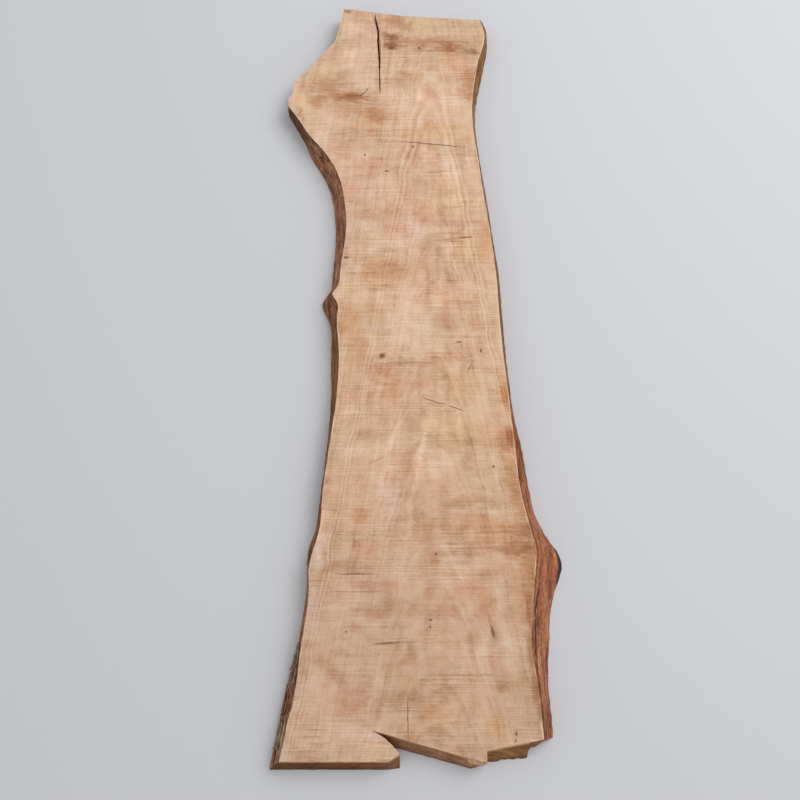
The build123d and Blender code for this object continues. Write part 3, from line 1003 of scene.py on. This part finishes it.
# With its surfaces dressed, the slab is one closed piece of timber, bark and all. It stands for the sawn
# solid, and only its arrises stay sharp.
for vert, shift in shifts.items():
    vert.co += shift
for face in net.faces:
    face.smooth = True
for edge in net.edges:
    edge.smooth = edge.link_faces[0][surface] == edge.link_faces[1][surface]
    edge.seam = False


def put_in_scene(mesh, shaped):
    """Fills a mesh with a shape and makes it a piece of the scene."""
    shaped.to_mesh(mesh)
    piece = bpy.data.objects.new(mesh.name, mesh)
    scene.collection.objects.link(piece)
    return piece


slab = put_in_scene(slab_mesh, net)
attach(slab, "root")
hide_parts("slab")

# Loose bark: dry flakes low on the left side, split from the bark below and curled away at their ends.
# Each is a thin strip laid on the smooth side: how far from the butt and below the face its middle is,
# its length, width, the lift of its ends, and its slant.
FLAKE_THICKNESS = 0.0016
FLAKE_GAP = 0.0012
FLAKE_CUP = 0.002
FLAKE_RIPPLE = 0.0008
FLAKE_RIPPLE_WAVES = 6
FLAKE_TAPER = 0.75
FLAKE_TAPER_POWER = 3
FLAKE_TEAR = 0.25
FLAKE_TEAR_WAVES = 9
FLAKE_CURL_POWER = 2.5
FLAKE_CURL_LEAST = 0.6
FLAKE_CURL_VARIES = 0.4
FLAKE_CURL_WAVES = 3
WELL_CLEAR = 1.0
FLAKE_COLUMNS = 4
FLAKE_ROWS = 16
FLAKES = (
    (0.226, 0.01, 0.036, 0.01, 0.0034, 0.14), (0.212, 0.02, 0.034, 0.011, 0.0042, -0.12),
    (0.232, 0.03, 0.042, 0.013, 0.0036, 0.1), (0.216, 0.038, 0.032, 0.01, 0.004, -0.16),
    (0.244, 0.018, 0.026, 0.009, 0.0032, 0.2), (0.188, 0.012, 0.046, 0.01, 0.0025, 0.03),
    (0.18, 0.026, 0.052, 0.012, 0.003, -0.03), (0.141, 0.01, 0.056, 0.008, 0.002, 0.02),
    (0.135, 0.021, 0.05, 0.009, 0.0025, -0.02), (0.14, 0.034, 0.06, 0.011, 0.003, 0.03),
    (0.076, 0.009, 0.062, 0.006, 0.002, 0.01), (0.072, 0.017, 0.066, 0.007, 0.0025, -0.01),
    (0.07, 0.026, 0.06, 0.008, 0.003, 0.02), (0.074, 0.037, 0.062, 0.01, 0.0035, -0.02),
    (0.036, 0.015, 0.024, 0.01, 0.002, 0.05), (0.031, 0.031, 0.028, 0.012, 0.0025, -0.05),
)
FLAKE_ZONES = (
    (0.000, paint(146, 92, 74)), (0.022, paint(150, 98, 80)), (0.032, paint(166, 144, 116)),
    (0.055, paint(164, 142, 118)), (0.066, paint(134, 88, 70)), (0.090, paint(142, 98, 80)),
    (0.100, paint(140, 118, 102)), (0.118, paint(116, 96, 84)), (0.135, paint(150, 132, 120)),
)
flake_net = bmesh.new()
for index, (from_butt, below, length, width, lift, slant) in enumerate(FLAKES):
    strip = bmesh.ops.create_grid(
        flake_net, x_segments=FLAKE_COLUMNS, y_segments=FLAKE_ROWS, size=0.5)["verts"]
    for vert in strip:
        across, along = vert.co.x, vert.co.y
        to_end, to_side = abs(2 * along), 2 * across
        torn = 1 - FLAKE_TAPER * to_end ** FLAKE_TAPER_POWER
        torn += FLAKE_TEAR * wave(along * FLAKE_TEAR_WAVES, across, index)
        drop = below + across * width * torn + slant * along * length
        start = Vector((low.x - WELL_CLEAR, low.y + from_butt + along * length, high.z - drop))
        hit = smooth_slab.ray_cast(start, Vector((1, 0, 0)))[0]
        varied = FLAKE_CURL_LEAST + FLAKE_CURL_VARIES * wave(along * FLAKE_CURL_WAVES, 5, index)
        curl = lift * to_end ** FLAKE_CURL_POWER * varied
        ripple = FLAKE_RIPPLE * wave(along * FLAKE_RIPPLE_WAVES, to_side, index + 30)
        vert.co = hit - Vector((FLAKE_GAP + curl + ripple - FLAKE_CUP * to_side ** 2, 0, 0))
    faces = list({face for vert in strip for face in vert.link_faces})
    bmesh.ops.solidify(flake_net, geom=faces, thickness=FLAKE_THICKNESS)
bmesh.ops.recalc_face_normals(flake_net, faces=flake_net.faces)
for face in flake_net.faces:
    face.smooth = True
flakes = put_in_scene(bpy.data.meshes.new("bark_flakes"), flake_net)

DRY_BARK_FINISH = (0.9, 0.15)
DRY_STREAK = (0.003, 0.04, 0.004)
DRY_PATCH = (0.02, 0.03, 0.02)
DRY_MOTTLE = (0.007, 0.018, 0.006)
DRY_ZONE_WANDER = (0.03, 0.03)
DRY_MOTTLE_WANDER = (0.01, 0.004)
DRY_MOTTLE_COLOUR = paint(112, 76, 58)
DRY_MOTTLE_SPREAD = (0.46, 0.58, 0.0, 0.75)
DRY_SHADE_SPREAD = (0.30, 0.70, 0.45, 1.45)
DRY_BARK_RELIEF = (0.0012, 0.6)


def dry_bark():
    """Weathered bark: each group of flakes has its own colour, streaked pale and dark along."""
    material, shader, place = start_material("dry_bark", *DRY_BARK_FINISH)
    streak = blotches(place, DRY_STREAK, seed=4.0, detail=4.0)
    patch = blotches(place, DRY_PATCH, seed=8.0)
    mottle = blotches(wander(place, *DRY_MOTTLE_WANDER), DRY_MOTTLE, seed=14.0, detail=4.0)
    zone = axis_share(wander(place, *DRY_ZONE_WANDER), 1)
    colour = colour_row(zone, FLAKE_ZONES)
    colour = lay_over(ease(mottle, *DRY_MOTTLE_SPREAD), colour, DRY_MOTTLE_COLOUR)
    shade = ease(weigh(((streak, 1.0), (patch, 0.5)), -0.25), *DRY_SHADE_SPREAD)
    grey = add_node("CombineXYZ", {"X": shade, "Y": shade, "Z": shade}).outputs[0]
    colour = lay_over(1.0, colour, grey, "MULTIPLY")
    dress(shader, colour, streak, *DRY_BARK_RELIEF)
    return material


flakes.data.materials.append(dry_bark())
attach(flakes, "root")

# Torn fibres: where the offcut broke away beside the last cut of the butt, thin slivers of wood stand out
# of the step, each a tapered splinter rooted in the slab. Noise makes each a little different.
SPLINTER_SIDES = 5
SPLINTER_THICK = 0.0013
SPLINTER_TIP = 0.0002
SPLINTER_COUNT = 26
SPLINTERS_FROM, SPLINTERS_TO = 0.098, 0.1345
SPLINTER_CROWDING = 0.8
SPLINTERS_BELOW = 0.003
SPLINTERS_DROP = 0.014
SPLINTER_LENGTH = 0.013
SPLINTER_LENGTH_VARIES = 0.008
SPLINTER_LEAN = 78
SPLINTER_LEAN_VARIES = 12
SPLINTER_SWING = 14
splinter_net = bmesh.new()
for index in range(SPLINTER_COUNT):
    share = (index + SPLINTER_CROWDING * wave(index * 1.3, 0.5, 50)) / (SPLINTER_COUNT - 1)
    across = SPLINTERS_FROM + (SPLINTERS_TO - SPLINTERS_FROM) * share
    up = high.z - SPLINTERS_BELOW - SPLINTERS_DROP * abs(wave(index * 3.7, 1.5, 51))
    hit = smooth_slab.ray_cast(Vector((across, low.y - WELL_CLEAR, up)), Vector((0, 1, 0)))[0]
    length = SPLINTER_LENGTH + SPLINTER_LENGTH_VARIES * wave(index * 2.3, 4.5, 52)
    lean = math.radians(SPLINTER_LEAN + SPLINTER_LEAN_VARIES * wave(index * 1.9, 2.5, 53))
    swing = math.radians(SPLINTER_SWING * wave(index * 2.9, 3.5, 54))
    turned = Matrix.Translation(hit) @ Matrix.Rotation(swing, 4, "Z") @ Matrix.Rotation(lean, 4, "X")
    bmesh.ops.create_cone(
        splinter_net, cap_ends=True, segments=SPLINTER_SIDES, radius1=SPLINTER_THICK, radius2=SPLINTER_TIP,
        depth=length, matrix=turned)
splinters = put_in_scene(bpy.data.meshes.new("torn_fibres"), splinter_net)

TORN_FINISH = (0.85, 0.2)
TORN_STREAK = (0.003, 0.03, 0.003)
TORN_TONES = ((0.30, paint(170, 128, 94)), (0.50, paint(212, 176, 142)), (0.70, paint(230, 204, 174)))
TORN_RELIEF = (0.0006, 0.4)


def torn_wood():
    """Fresh torn wood, pale with brown streaks."""
    material, shader, place = start_material("torn_wood", *TORN_FINISH)
    streak = blotches(place, TORN_STREAK, seed=12.0)
    colour = colour_row(streak, TORN_TONES)
    dress(shader, colour, streak, *TORN_RELIEF)
    return material


splinters.data.materials.append(torn_wood())
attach(splinters, "root")

# The studio floor: one plain board, pale and matt and much larger than the slab, which lies on it. It is
# there for the picture and isn't part of the object.
FLOOR_SIDE = 14.0
FLOOR_COLOUR = (0.60, 0.61, 0.64, 1)
FLOOR_ROUGHNESS = 0.8
floor_net = bmesh.new()
bmesh.ops.create_grid(floor_net, x_segments=1, y_segments=1, size=FLOOR_SIDE / 2)
floor = put_in_scene(bpy.data.meshes.new("floor"), floor_net)
floor_paint = bpy.data.materials.new("floor_paint")
floor_paint.use_nodes = True
floor_shader = floor_paint.node_tree.nodes["Principled BSDF"]
floor_shader.inputs["Base Color"].default_value = FLOOR_COLOUR
floor_shader.inputs["Roughness"].default_value = FLOOR_ROUGHNESS
floor.data.materials.append(floor_paint)

# Soft light: an even pale room, and one large lamp high above the top end, on the right, that is turned to
# the middle of the slab.
ROOM_COLOUR = (0.62, 0.62, 0.62, 1)
LAMP_SIDE = 3.5
LAMP_POWER = 165
LAMP_PLACE = Vector((2.8, 2.0, 4.2))
world = bpy.data.worlds.new("studio")
world.use_nodes = True
world.node_tree.nodes["Background"].inputs["Color"].default_value = ROOM_COLOUR
scene.world = world
lamp_light = bpy.data.lights.new("lamp", "AREA")
lamp_light.size = LAMP_SIDE
lamp_light.energy = LAMP_POWER
lamp = bpy.data.objects.new("lamp", lamp_light)
lamp.location = LAMP_PLACE
lamp.rotation_euler = (-LAMP_PLACE).to_track_quat("-Z", "Y").to_euler()
scene.collection.objects.link(lamp)
scene.view_settings.view_transform = "Standard"
